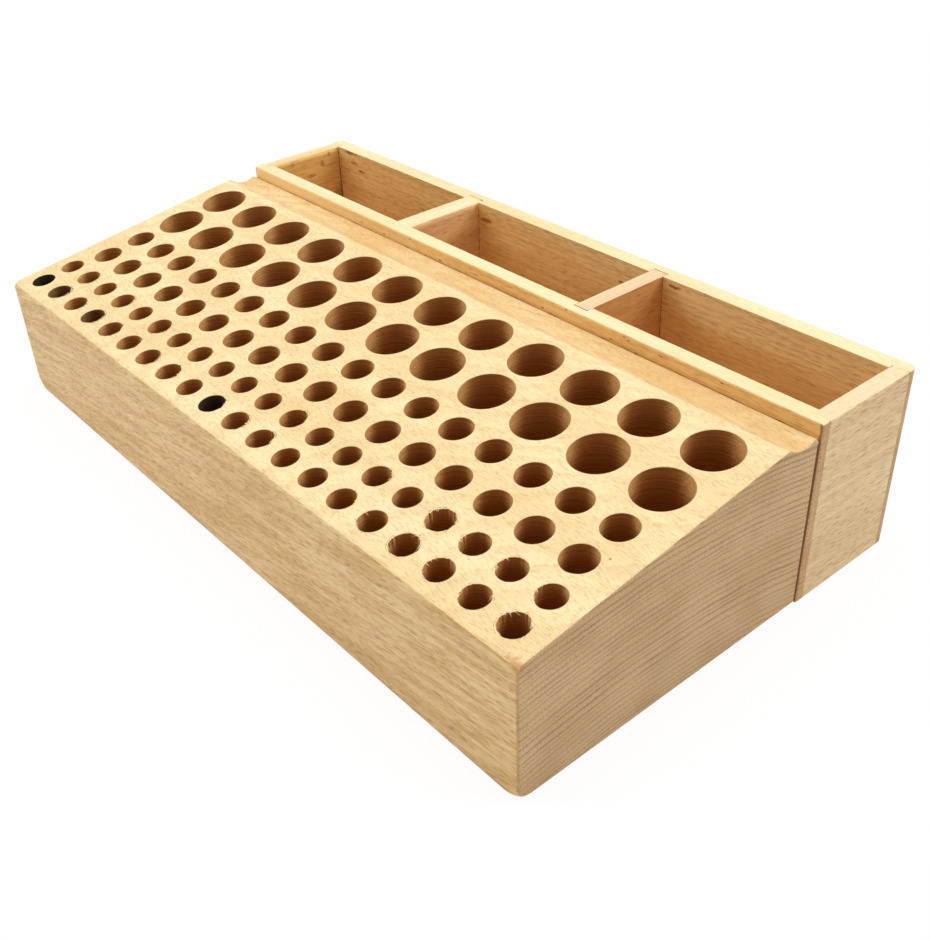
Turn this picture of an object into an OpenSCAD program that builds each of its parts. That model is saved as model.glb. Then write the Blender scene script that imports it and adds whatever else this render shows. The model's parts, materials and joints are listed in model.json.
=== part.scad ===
// Bench rack for hand tools: a solid block with a sloped, drilled top,
// and an open tray with three compartments screwed to its rear face.
// Millimetres. +Z is up, +X runs along the rack, and the front face looks along -Y.
// The origin is at the middle of the footprint, on the surface the rack stands on.

/* [Rack] */
// Depth of the whole rack, front to rear, of which the tray has what the block leaves
rack_depth = 165.4; // [150:0.1:230]

/* [Tool block] */
// Length of the block, end to end
block_length = 300; // [260:5:400]
// Height of the front face, up to the front edge of the sloped top
front_height = 48.4; // [36:0.1:60]
// Angle of the sloped top, rising towards the rear
slope_angle = 8.1; // [3:0.1:12]
// Radius of the round along the bottom front edge
front_bottom_radius = 1; // [0.5:0.5:8]
// Radius of the round along the top front edge
front_top_radius = 2; // [0.5:0.5:4]
// Height of the sockets' flat bottoms above the base
socket_floor = 10; // [6:0.5:20]
// Extra depth of the first socket to be drilled, the left one of the rear row
first_socket_extra = 0.01; // [0.01:0.01:0.5]

/* [Small sockets] */
// Diameter of the small sockets
small_d = 9.1; // [5:0.1:10]
// Sockets in each row
small_count = 20; // [6:1:20]
// Distance from each end of the block to the first socket's axis
small_end_margin = 10.7; // [8:0.1:30]
// Distance from the front face to the first row
front_margin = 9.1; // [8:0.1:16]
// Distance between the two rows
small_row_gap = 12.8; // [12:0.1:20]

/* [Medium sockets] */
// Diameter of the medium sockets
medium_d = 11.2; // [8:0.1:13]
// Sockets in each row
medium_count = 17; // [6:1:17]
// Distance from each end of the block to the first socket's axis
medium_end_margin = 14.9; // [10:0.1:30]
// Distance from the last small row to the first medium row
small_to_medium = 14.1; // [13:0.1:24]
// Distance between the two rows
medium_row_gap = 15.3; // [14.5:0.1:24]

/* [Large sockets] */
// Diameter of the large sockets
large_d = 18.5; // [12:0.5:19.5]
// Sockets in each row
large_count = 12; // [4:1:12]
// Distance from each end of the block to the first socket's axis
large_end_margin = 16.7; // [12:0.1:30]
// Distance from the last medium row to the first large row
medium_to_large = 18.4; // [17.5:0.1:30]
// Distance between the two rows
large_row_gap = 21.1; // [20.5:0.1:32]
// Distance from the last large row to the front edge of the groove
rear_margin = 13.2; // [11:0.1:24]

/* [Groove] */
// Width of the round groove that runs along the rear edge of the block
groove_width = 13.4; // [10:0.1:16]
// Radius of the groove's hollow
groove_radius = 9.5; // [9:0.5:14]
// Distance from the rear face to the deepest line of the groove
groove_inset = 6.7; // [5:0.1:8]
// Radius of the round along the rear edge of the groove
ridge_radius = 2; // [0.5:0.5:3]

/* [Tray] */
// Height of the tray
tray_height = 65.6; // [62:0.1:90]
// How far the tray stands proud of the block at each end
tray_overhang = 0.5; // [0:0.1:4]
// Thickness of the front and rear walls
tray_wall = 6.5; // [6:0.5:12]
// Thickness of the end panels
end_thickness = 6; // [4:0.5:10]
// Depth of the rabbet in the front wall that takes an end panel
front_rabbet = 3; // [1:0.5:4]
// Depth of the rabbet in the rear wall that takes an end panel
rear_rabbet = 2; // [1:0.5:4]
// Radius of the round on the tray's upright rear corners, up to the wall's thickness beside the rabbet
tray_corner_radius = 3; // [1:0.5:4]

/* [Tray floor] */
// Thickness of the floor panel
floor_thickness = 5; // [3:0.5:8]
// Height of the floor panel's underside above the base
floor_lift = 3; // [2:0.5:10]
// Depth of the groove that carries the floor panel
floor_groove = 3; // [1:0.5:3]
// Clearance between the floor panel and the bottom of its groove
floor_clearance = 0.4; // [0.1:0.1:0.8]

/* [Dividers] */
// Inside length of each outer compartment; the middle one has what they leave
outer_length = 90.7; // [60:0.1:120]
// Thickness of the left lift-out divider
left_divider_thickness = 8; // [3:0.1:10]
// Thickness of the right lift-out divider
right_divider_thickness = 6.2; // [3:0.1:10]
// Depth of the upright slot in each wall that takes a divider
divider_slot = 3; // [1:0.5:4]
// Slip clearance on each side of a divider in its slots
slip_clearance = 0.15; // [0.1:0.05:0.4]
// Clearance at each end of a divider in its slots
slot_end_clearance = 0.4; // [0.2:0.1:0.8]

/* [Screws] */
// Screws that hold the tray to the block
screw_count = 3; // [2:1:5]
// Diameter of a screw's shank
screw_d = 4; // [3:0.5:5]
// Length of a screw, from the top of its head to its tip
screw_length = 20; // [14:0.5:22]
// Diameter of a screw's countersunk head
screw_head_d = 8; // [6.5:0.5:10]
// Height of the screws above the base
screw_height = 34; // [16:0.5:48]
// Distance from each end of the block to the outer screws
screw_end_margin = 52; // [20:1:90]
// Radial clearance around a screw in its hole
screw_clearance = 0.1; // [0.05:0.05:0.3]

/* [Hidden] */
$fn = 64;

// Overshoot of a cutting shape past the face that it cuts
past = 1;
right_angle = 90;

// Rows of sockets, measured from the front face of the block
small_row_1 = front_margin;
small_row_2 = small_row_1 + small_row_gap;
medium_row_1 = small_row_2 + small_to_medium;
medium_row_2 = medium_row_1 + medium_row_gap;
large_row_1 = medium_row_2 + medium_to_large;
large_row_2 = large_row_1 + large_row_gap;
groove_edge = large_row_2 + rear_margin;
block_depth = groove_edge + groove_width;

// The sloped top as a height over the distance from the front face
function slope_z(y) = front_height + y * tan(slope_angle);

// The groove's axis stands where its hollow meets the slope at the groove's front edge
groove_axis_y = block_depth - groove_inset;
groove_axis_z = slope_z(groove_edge) + sqrt(pow(groove_radius, 2) - pow(groove_axis_y - groove_edge, 2));

// The ridge behind the groove is rounded over, down to the rear face.
// Its round bites a little into the hollow, so that the two cross
ridge_bite = 0.02;
ridge_reach = groove_radius + ridge_radius - ridge_bite;
ridge_y = block_depth - ridge_radius;
ridge_z = groove_axis_z - sqrt(pow(ridge_reach, 2) - pow(ridge_y - groove_axis_y, 2));
ridge_start = ridge_y - (ridge_y - groove_axis_y) * ridge_radius / ridge_reach;

// The tray behind the block
tray_length = block_length + 2 * tray_overhang;
tray_front = block_depth;
tray_rear = rack_depth;
tray_inner_front = tray_front + tray_wall;
tray_inner_rear = tray_rear - tray_wall;
tray_inside_depth = tray_inner_rear - tray_inner_front;
tray_inside_length = tray_length - 2 * end_thickness;
floor_top = floor_lift + floor_thickness;
function divider_thickness(side) = side < 0 ? left_divider_thickness : right_divider_thickness;
function divider_x(side) = side * (tray_inside_length / 2 - outer_length - divider_thickness(side) / 2);
function slot_width(side) = divider_thickness(side) + 2 * slip_clearance;
corner_radius = min(tray_corner_radius, tray_wall - rear_rabbet);
end_depth = tray_inside_depth + front_rabbet + rear_rabbet;
divider_length = tray_inside_depth + 2 * (divider_slot - slot_end_clearance);

// The screws run from the tray's inside, through its front wall, into the block
screw_head_h = (screw_head_d - screw_d) / 2;
screw_tip_h = screw_d;
screw_recess_w = screw_d / 4;
screw_step = (block_length - 2 * screw_end_margin) / (screw_count - 1);

// Colours of the wood and of the screws
beech = "#e6c690";
beech_pale = "#f0d8a8";
beech_warm = "#d9b27a";
zinc = "#c9c4b4";

// Puts what is measured from the front face into the rack's own frame, at the middle of the footprint
module placed() {
    translate([0, -rack_depth / 2, 0]) children();
}

// A solid with the given outline in Y and Z, centred along X
module along_x(length) {
    rotate([right_angle, 0, right_angle]) linear_extrude(height = length, center = true) children();
}

// Turns a direction given as an angle into a unit vector
function heading(angle) = [cos(angle), sin(angle)];

// What a round takes off a corner whose two sides leave it at the angles from and from + opening
module corner_waste(corner, from, opening, radius) {
    reach = radius / tan(opening / 2);
    centre = corner + heading(from + opening / 2) * radius / sin(opening / 2);
    difference() {
        polygon([
            corner - heading(from + opening / 2) * past,
            corner + heading(from) * reach - heading(from + right_angle) * past,
            corner + heading(from) * reach,
            centre,
            corner + heading(from + opening) * reach,
            corner + heading(from + opening) * reach + heading(from + opening + right_angle) * past,
        ]);
        translate(centre) circle(r = radius);
    }
}

// What the round along the groove's rear edge takes off
module ridge_waste() {
    difference() {
        translate([ridge_start, ridge_z])
            square([block_depth - ridge_start + past, slope_z(block_depth) - ridge_z + past]);
        translate([ridge_y, ridge_z]) circle(r = ridge_radius);
    }
}

// The block's end outline
module block_outline() {
    difference() {
        polygon([
            [0, 0],
            [block_depth, 0],
            [block_depth, slope_z(block_depth)],
            [0, front_height],
        ]);
        translate([groove_axis_y, groove_axis_z]) circle(r = groove_radius);
        ridge_waste();
        corner_waste([0, 0], 0, right_angle, front_bottom_radius);
        corner_waste([0, front_height], -right_angle, right_angle + slope_angle, front_top_radius);
    }
}

// One row of upright sockets, of which the left one may be deeper
module socket_row(row_y, diameter, count, end_margin, left_extra = 0) {
    step = (block_length - 2 * end_margin) / (count - 1);
    for (i = [0 : count - 1]) {
        floor_z = socket_floor - (i == 0 ? left_extra : 0);
        translate([(i - (count - 1) / 2) * step, row_y, floor_z])
            cylinder(d = diameter, h = slope_z(block_depth) - floor_z + past);
    }
}

module sockets() {
    for (row_y = [small_row_1, small_row_2])
        socket_row(row_y, small_d, small_count, small_end_margin);
    for (row_y = [medium_row_1, medium_row_2])
        socket_row(row_y, medium_d, medium_count, medium_end_margin);
    socket_row(large_row_1, large_d, large_count, large_end_margin);
    socket_row(large_row_2, large_d, large_count, large_end_margin, first_socket_extra);
}

// Places a child at each screw, with its Z axis pointing out of the screw's head
module at_screws() {
    for (i = [0 : screw_count - 1])
        translate([(i - (screw_count - 1) / 2) * screw_step, tray_inner_front, screw_height])
            rotate([-right_angle, 0, 0])
                children();
}

// A countersunk screw standing on its tip, grown all round by spare
module screw_form(spare) {
    radius = screw_d / 2 + spare;
    head = screw_head_d / 2 + spare;
    rotate_extrude() polygon([
        [0, -screw_length - spare],
        [radius, -screw_length + screw_tip_h],
        [radius, -screw_head_h],
        [head, 0],
        [0, 0],
    ]);
}

module screw_holes() {
    at_screws() {
        screw_form(screw_clearance);
        cylinder(r = screw_head_d / 2 + screw_clearance, h = past);
    }
}

// The groove for the floor panel, cut all round the inside of the tray
module floor_slot() {
    translate([
        -tray_inside_length / 2 - floor_groove,
        tray_inner_front - floor_groove,
        floor_lift,
    ])
        cube([
            tray_inside_length + 2 * floor_groove,
            tray_inside_depth + 2 * floor_groove,
            floor_thickness,
        ]);
}

// The upright slots for both dividers, down to the floor panel
module divider_slots() {
    for (side = [-1, 1])
        translate([
            divider_x(side) - slot_width(side) / 2,
            tray_inner_front - divider_slot,
            floor_lift,
        ])
            cube([
                slot_width(side),
                tray_inside_depth + 2 * divider_slot,
                tray_height - floor_lift + past,
            ]);
}

// The rabbets at both ends of the walls
module end_rabbets() {
    for (side = [-1, 1])
        translate([
            side * (tray_length - end_thickness + past) / 2 - (end_thickness + past) / 2,
            tray_inner_front - front_rabbet,
            -past,
        ])
            cube([
                end_thickness + past,
                end_depth,
                tray_height + 2 * past,
            ]);
}

// What the rounds take off the tray's upright rear corners
module rear_corner_waste() {
    translate([0, 0, -past]) linear_extrude(height = tray_height + 2 * past) {
        corner_waste([tray_length / 2, tray_rear], 2 * right_angle, right_angle, corner_radius);
        corner_waste([-tray_length / 2, tray_rear], -right_angle, right_angle, corner_radius);
    }
}

// A full-length wall of the tray, with its joints cut
module tray_wall_at(front_y) {
    difference() {
        translate([-tray_length / 2, front_y, 0])
            cube([tray_length, tray_wall, tray_height]);
        end_rabbets();
        floor_slot();
        divider_slots();
    }
}

// An end panel of the tray, in the rabbets of both walls
module tray_end_at(side) {
    difference() {
        translate([
            side * (tray_length - end_thickness) / 2 - end_thickness / 2,
            tray_inner_front - front_rabbet,
            0,
        ])
            cube([end_thickness, end_depth, tray_height]);
        floor_slot();
    }
}

// A divider that slips into its two slots and stands on the floor panel
module divider_at(side) {
    translate([
        divider_x(side) - divider_thickness(side) / 2,
        tray_inner_front - divider_slot + slot_end_clearance,
        floor_top,
    ])
        cube([divider_thickness(side), divider_length, tray_height - floor_top]);
}

module tool_block() {
    color(beech) placed() difference() {
        along_x(block_length) block_outline();
        sockets();
        screw_holes();
    }
}

module tray_front_wall() {
    color(beech_warm) placed() difference() {
        tray_wall_at(tray_front);
        screw_holes();
    }
}

module tray_rear_wall() {
    color(beech_warm) placed() difference() {
        tray_wall_at(tray_inner_rear);
        rear_corner_waste();
    }
}

module tray_left_end() {
    color(beech) placed() tray_end_at(-1);
}

module tray_right_end() {
    color(beech) placed() tray_end_at(1);
}

module tray_floor() {
    spread = 2 * (floor_groove - floor_clearance);
    color(beech_warm) placed()
        translate([
            -(tray_inside_length + spread) / 2,
            tray_inner_front - spread / 2,
            floor_lift,
        ])
            cube([tray_inside_length + spread, tray_inside_depth + spread, floor_thickness]);
}

module tray_left_divider() {
    color(beech_pale) placed() divider_at(-1);
}

module tray_right_divider() {
    color(beech_pale) placed() divider_at(1);
}

module tray_screws() {
    color(zinc) placed() at_screws() difference() {
        screw_form(0);
        for (turn = [0, right_angle])
            rotate([0, 0, turn])
                cube([screw_d, screw_recess_w, 2 * screw_recess_w], center = true);
    }
}

tool_block();
tray_front_wall();
tray_rear_wall();
tray_left_end();
tray_right_end();
tray_floor();
tray_left_divider();
tray_right_divider();
tray_screws();
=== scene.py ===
"""Bench rack for hand tools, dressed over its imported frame: drilled block, tray, dividers, light, camera."""

import json
import math
import random

import bmesh
import bpy
from mathutils import Matrix, Vector
from mathutils.geometry import delaunay_2d_cdt


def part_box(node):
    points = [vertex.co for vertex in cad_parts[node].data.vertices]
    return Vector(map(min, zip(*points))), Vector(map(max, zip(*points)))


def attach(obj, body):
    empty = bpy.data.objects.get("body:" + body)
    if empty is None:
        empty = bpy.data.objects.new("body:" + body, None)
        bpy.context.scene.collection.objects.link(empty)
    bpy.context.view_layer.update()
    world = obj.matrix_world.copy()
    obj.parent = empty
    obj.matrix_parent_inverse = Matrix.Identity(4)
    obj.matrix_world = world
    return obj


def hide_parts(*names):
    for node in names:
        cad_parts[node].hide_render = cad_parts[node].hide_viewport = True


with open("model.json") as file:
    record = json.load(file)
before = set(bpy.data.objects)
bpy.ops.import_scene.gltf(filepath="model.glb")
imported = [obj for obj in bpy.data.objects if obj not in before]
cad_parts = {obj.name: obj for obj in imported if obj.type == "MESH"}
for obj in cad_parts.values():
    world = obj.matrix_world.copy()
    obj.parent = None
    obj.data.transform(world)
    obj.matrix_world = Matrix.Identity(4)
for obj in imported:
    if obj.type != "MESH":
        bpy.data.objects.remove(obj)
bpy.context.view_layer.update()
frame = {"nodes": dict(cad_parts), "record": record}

MM = 0.001
nodes = frame["nodes"]
bores = [m for m in frame["record"]["mounts"] if m["kind"] == "bore"]
block_low, block_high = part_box("tool_block")
rise = max(bores, key=lambda m: m["pos_m"][1])["pos_m"]
fall = min(bores, key=lambda m: m["pos_m"][1])["pos_m"]
SLOPE = (rise[2] - fall[2]) / (rise[1] - fall[1])

# Corners of the tray's long walls and right faces of three of its boards, in mm
tray_low, tray_high = [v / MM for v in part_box("tray_front_wall")]
rear_low, rear_high = [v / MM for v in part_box("tray_rear_wall")]
left_end_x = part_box("tray_left_end")[1].x / MM
left_board_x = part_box("tray_left_divider")[1].x / MM
right_board_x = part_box("tray_right_divider")[1].x / MM


def top_z(y):
    """Height of the sloped top at a depth."""
    return fall[2] + (y - fall[1]) * SLOPE


# Shader helpers

# Length along the grain and width across it of what the woods show, in mm
FIBRE = (14, 0.4)
STREAK = (46, 2.4)
CLOUD = (75, 17)
RING_DRIFT = (110, 26)
DASH_WANDER = (30, 6)
WORN_EDGE = (7, 1.2)
SHADE_EDGE = (6, 1.5)
END_CLOUD = (40, 21)
END_PATCH = (12, 12)
END_PORE = (3, 0.5)
SPECK = (1.2, 0.6)
WAVER = (5, 5)
ZINC_CLOUD = (1.5, 1.5)
ZINC_SCRATCH = (4.0, 0.12)

# Marks as (length, width, size in cells, share of cells that have one)
FINE = (3.6, 0.42, 0.34, 1.0)
MIDDLE = (4.6, 0.46, 0.36, 1.0)
COARSE = (4.6, 0.44, 0.36, 1.0)
PANEL = (4.4, 0.36, 0.36, 1.0)
PIN = (11.0, 3.2, 0.13, 0.7)

# Share of fibres beside streaks, ring swell and cutter rings per mm, and the rays of end grain in mm
FIBRE_SHARE = 0.4
RING_SWELL = 0.13
CUTTER_RINGS = 1.6
RAY_LENGTH = 7.0
RAY_WIDTH = 0.5

# Roughness from smooth to rough
PLANED = (0.46, 0.62)
SAWN = (0.6, 0.78)
DRILLED = (0.5, 0.75)
BRUSHED = (0.3, 0.45)

# Stretches along X in mm: where the front wall is painted lighter towards its left end, as painted light, and
# where the front edge is burnished
LEFT_LIGHT_SPAN = (-150, 40)
WORN = (95, 150)


def srgb(red, green, blue):
    """A colour given in 0 to 255 as the shader's own linear values."""
    def linear(value):
        value /= 255
        return value / 12.92 if value <= 0.04045 else ((value + 0.055) / 1.055) ** 2.4
    return (linear(red), linear(green), linear(blue), 1.0)


class Shader:
    """Node tree of one material, with short calls for the nodes that the woods share."""

    def __init__(self, name):
        self.material = bpy.data.materials.new(name)
        self.material.use_nodes = True
        self.tree = self.material.node_tree
        self.tree.nodes.clear()

    def node(self, kind, inputs=None, **settings):
        made = self.tree.nodes.new("ShaderNode" + kind)
        for key, value in settings.items():
            setattr(made, key, value)
        for key, value in (inputs or {}).items():
            self.put(made.inputs[key], value)
        return made

    def put(self, socket, value):
        if isinstance(value, bpy.types.NodeSocket):
            self.tree.links.new(value, socket)
        else:
            socket.default_value = value

    def math(self, operation, a, b=0.0, clamp=False):
        return self.node("Math", {0: a, 1: b}, operation=operation, use_clamp=clamp).outputs[0]

    def vector(self, operation, a, b=(0.0, 0.0, 0.0)):
        return self.node("VectorMath", {0: a, 1: b}, operation=operation).outputs[0]

    def length(self, vector):
        return self.node("VectorMath", {0: vector}, operation="LENGTH").outputs["Value"]

    def axes(self, vector):
        return self.node("SeparateXYZ", {0: vector}).outputs

    def joined(self, x=0.0, y=0.0, z=0.0):
        return self.node("CombineXYZ", {0: x, 1: y, 2: z}).outputs[0]

    def ramp(self, value, low, high, to_low=0.0, to_high=1.0, smooth=True):
        """Maps low..high to to_low..to_high, held at both ends."""
        kind = "SMOOTHSTEP" if smooth else "LINEAR"
        values = {0: value, 1: low, 2: high, 3: to_low, 4: to_high}
        return self.node("MapRange", values, interpolation_type=kind).outputs[0]

    def noise(self, place, detail=2.0, roughness=0.5):
        values = {"Vector": place, "Scale": 1.0, "Detail": detail, "Roughness": roughness}
        return self.node("TexNoise", values).outputs["Fac"]

    def swing(self, noise, width):
        """Noise of 0..1 as a swing of that whole width about nothing."""
        return self.math("MULTIPLY", self.math("SUBTRACT", noise, 0.5), width)

    def mix(self, share, first, second):
        made = self.node("Mix", data_type="RGBA")
        colours = [s for s in made.inputs if s.type == "RGBA"]
        self.put(made.inputs[0], share)
        self.put(colours[0], first)
        self.put(colours[1], second)
        return [s for s in made.outputs if s.type == "RGBA"][0]

    def finish(self, colour, roughness, height, bump_strength, bump_depth, specular=0.35, metallic=0.0):
        bump = self.node("Bump", {"Height": height, "Strength": bump_strength, "Distance": bump_depth})
        values = {"Base Color": colour, "Roughness": roughness, "Normal": bump.outputs[0]}
        values["Specular IOR Level"] = specular
        values["Metallic"] = metallic
        surface = self.node("BsdfPrincipled", values)
        out = self.node("OutputMaterial")
        self.tree.links.new(surface.outputs[0], out.inputs[0])
        return self.material

    def place(self):
        """Place on the piece in millimetres."""
        return self.vector("MULTIPLY", self.node("TexCoord").outputs["Object"], (1 / MM,) * 3)

    def grain_place(self, grain, shift=(0.0, 0.0, 0.0), tilt=(0.0, 0.0)):
        """Place as (along the grain, across, across), moved so that boards differ;
        tilt is the grain's rise in the two ways across it."""
        parts = self.axes(self.place())
        first, *others = {"X": (0, 1, 2), "Y": (1, 0, 2)}[grain]
        along = parts[first]
        across = []
        for axis, slant in zip(others, tilt):
            across.append(self.math("SUBTRACT", parts[axis], self.math("MULTIPLY", along, slant)))
        return self.vector("ADD", self.joined(along, *across), shift)

    def stretched(self, place, along, across):
        """The place measured in cells of that length along the grain and that width across it."""
        return self.vector("MULTIPLY", place, (1 / along, 1 / across, 1 / across))

    def dashes(self, place, along, across, size, kept):
        """Short marks along the grain, one to a cell at most: size in cells, kept is the share of cells
        that have one."""
        wander = self.swing(self.noise(self.stretched(place, *DASH_WANDER), 1.0), 2.0)
        cell = self.vector("ADD", self.stretched(place, along, across), self.joined(y=wander))
        dash = self.node("TexVoronoi", {"Vector": cell, "Scale": 1.0}, feature="F1")
        draw = self.node("SeparateColor", {0: dash.outputs["Color"]}).outputs[0]
        weight = self.ramp(draw, 1 - kept, 1.0)
        return self.math("MULTIPLY", self.ramp(dash.outputs["Distance"], size * 0.7, size, 1.0, 0.0), weight)

    def spot(self, colour, centre, radii, tint, share):
        """Tints the colour round a point of the piece, with a ragged edge: stains, and painted shade where the
        lists mark it.
        """
        at = self.place()
        away = self.vector("SUBTRACT", at, centre)
        far = self.length(self.vector("MULTIPLY", away, [1 / r for r in radii]))
        ragged = self.noise(self.vector("MULTIPLY", at, (0.7, 0.7, 0.9)), 3.0, 0.65)
        far = self.math("ADD", far, self.swing(ragged, 1.8))
        return self.mix(self.math("MULTIPLY", self.ramp(far, 0.3, 1.0, 1.0, 0.0), share), colour, srgb(*tint))


def ring_field(s, place, pith, pitch, warp, sway, late=(0.35, 0.85)):
    """(growth ring shade 0..1, distance from the pith, angle round it) about a pith line along the grain;
    late is the part of each ring over which it darkens."""
    drift = s.swing(s.noise(s.stretched(place, *RING_DRIFT)), warp)
    parts = s.axes(place)
    v = s.math("ADD", s.math("SUBTRACT", parts[1], pith[0]), drift)
    w = s.math("ADD", s.math("SUBTRACT", parts[2], pith[1]), drift)
    squares = s.math("ADD", s.math("MULTIPLY", v, v), s.math("MULTIPLY", w, w))
    distance = s.math("SQRT", squares)
    slow = s.math("MULTIPLY", distance, RING_SWELL)
    swell = s.node("TexNoise", {"W": slow, "Scale": 1.0}, noise_dimensions="1D").outputs["Fac"]
    phase = s.math("ADD", s.math("DIVIDE", distance, pitch), s.math("MULTIPLY", swell, sway))
    saw = s.math("FRACT", phase)
    whole = s.math("FLOOR", phase)
    weight = s.node("TexWhiteNoise", {"W": whole}, noise_dimensions="1D").outputs["Value"]
    weight = s.ramp(weight, 0.0, 1.0, 0.55, 1.0, False)
    dark = s.ramp(saw, *late)
    sharp = s.ramp(saw, 0.88, 1.0, 1.0, 0.0)
    angle = s.math("ARCTAN2", v, w)
    return s.math("MULTIPLY", s.math("MULTIPLY", dark, sharp), weight), distance, angle


def side_wood(name, grain, tones, fleck, rings, shift=(0.0, 0.0, 0.0), tilt=(0.0, 0.0), clouds=0.6,
              left_light=None, pins=None, worn=None, painted_shade=None, spots=()):
    """Planed beech: tones = (light, dark); fleck = (colour, share, and what dashes takes) of its pores;
    rings = (colour, share, pith, pitch); clouds = share of broad clouds in the tones;
    fade = lighter tone painted towards its left end, as painted light; pins = (colour, share) of a few dark
    pin knots;
    worn = tone of a burnished line where the front edge turns up to the top, near the right end;
    seam = (colour, end colour, distance from the middle, height) paints shade on what lies below that height
    or beyond that distance; spots are stains, and painted shade where their lists mark it."""
    s = Shader(name)
    place = s.grain_place(grain, shift, tilt)
    fibre = s.noise(s.stretched(place, *FIBRE), 3.0, 0.6)
    streak = s.noise(s.stretched(place, *STREAK))
    cloud = s.noise(s.stretched(place, *CLOUD))
    fibres = s.math("MULTIPLY", fibre, FIBRE_SHARE * (1 - clouds))
    streaks = s.math("MULTIPLY", streak, (1 - FIBRE_SHARE) * (1 - clouds))
    share = s.math("ADD", s.math("ADD", fibres, streaks), s.math("MULTIPLY", cloud, clouds))
    colour = s.mix(s.ramp(share, 0.38, 0.62), srgb(*tones[0]), srgb(*tones[1]))
    ring_tone, ring_share, pith, pitch = rings
    ring, _, _ = ring_field(s, place, pith, pitch, 5.0, 1.6)
    colour = s.mix(s.math("MULTIPLY", ring, ring_share), colour, srgb(*ring_tone))
    pore_tone, pore_share, *cells = fleck
    pore = s.ramp(s.noise(s.stretched(place, *cells[:2]), 1.0), 0.48, 0.68, 0.0, 0.75)
    mark = s.math("ADD", pore, s.math("MULTIPLY", s.dashes(place, *cells), 0.3), True)
    mark = s.math("MULTIPLY", mark, s.ramp(streak, 0.34, 0.56, 0.55, 1.0))
    colour = s.mix(s.math("MULTIPLY", mark, pore_share), colour, srgb(*pore_tone))
    at = s.axes(s.place())
    # Painted light: lighter towards the left end, where more light falls
    if left_light:
        colour = s.mix(s.ramp(at[0], *LEFT_LIGHT_SPAN, 0.75, 0.0), colour, srgb(*left_light))
    if pins:
        pin_tone, pin_share = pins
        colour = s.mix(s.math("MULTIPLY", s.dashes(place, *PIN), pin_share), colour, srgb(*pin_tone))
    if worn:
        up = s.axes(s.node("NewGeometry").outputs["Normal"])[2]
        ragged = s.noise(s.stretched(place, *WORN_EDGE), 3.0, 0.6)
        turned = s.math("ADD", up, s.swing(ragged, 0.9))
        band = s.math("MULTIPLY", s.ramp(turned, 0.3, 0.6), s.ramp(at[0], *WORN, 0.0, 0.7))
        colour = s.mix(band, colour, srgb(*worn))
    # Painted shade: darker below a height and darker beyond a distance from the middle, for the gaps round the
    # block and for contact with the floor
    if painted_shade:
        low_shade, end_shade, reach, height = painted_shade
        ragged = s.swing(s.noise(s.stretched(place, *SHADE_EDGE)), 1.2)
        shade_below = s.ramp(s.math("ADD", at[2], ragged), height - 0.3, height + 0.4, 0.9, 0.0)
        colour = s.mix(shade_below, colour, srgb(*low_shade))
        aside = s.math("ADD", s.math("ABSOLUTE", at[0]), ragged)
        colour = s.mix(s.ramp(aside, reach - 0.4, reach + 0.4, 0.0, 0.9), colour, srgb(*end_shade))
    for stain in spots:
        colour = s.spot(colour, *stain)
    relief = s.math("SUBTRACT", s.math("MULTIPLY", fibre, 0.6), s.math("MULTIPLY", mark, 0.5))
    return s.finish(colour, s.ramp(fibre, 0.3, 0.7, *PLANED), relief, 0.2, 0.1 * MM)


def end_wood(name, tones, line, rays, pith, pitch, spots=()):
    """Sawn end grain: growth lines = (colour, share) round a pith, crossed by fine rays = (colour, share)."""
    s = Shader(name)
    place = s.grain_place("X")
    cloud = s.noise(s.stretched(place, *END_CLOUD))
    colour = s.mix(s.ramp(cloud, 0.35, 0.65), srgb(*tones[0]), srgb(*tones[1]))
    ring, distance, angle = ring_field(s, place, pith, pitch, 2.4, 1.8, (0.5, 0.88))
    uneven = s.ramp(s.noise(s.stretched(place, *END_PATCH)), 0.3, 0.7, 0.55, 1.0)
    lines = s.math("MULTIPLY", s.math("MULTIPLY", ring, uneven), line[1])
    colour = s.mix(lines, colour, srgb(*line[0]))
    across = s.math("DIVIDE", s.math("MULTIPLY", angle, math.hypot(*pith)), RAY_WIDTH)
    ray_at = s.joined(across, s.math("DIVIDE", distance, RAY_LENGTH))
    ray = s.ramp(s.noise(ray_at), 0.5, 0.68)
    colour = s.mix(s.math("MULTIPLY", ray, rays[1]), colour, srgb(*rays[0]))
    pores = s.noise(s.stretched(place, *END_PORE), 2.0, 0.7)
    colour = s.mix(s.ramp(pores, 0.42, 0.7, 0.0, 0.5), colour, srgb(*line[0]))
    for stain in spots:
        colour = s.spot(colour, *stain)
    relief = s.math("SUBTRACT", s.math("MULTIPLY", pores, -0.4), s.math("MULTIPLY", ring, 0.3))
    return s.finish(colour, s.ramp(pores, 0.3, 0.7, *SAWN), relief, 0.2, 0.1 * MM, 0.25)


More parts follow.
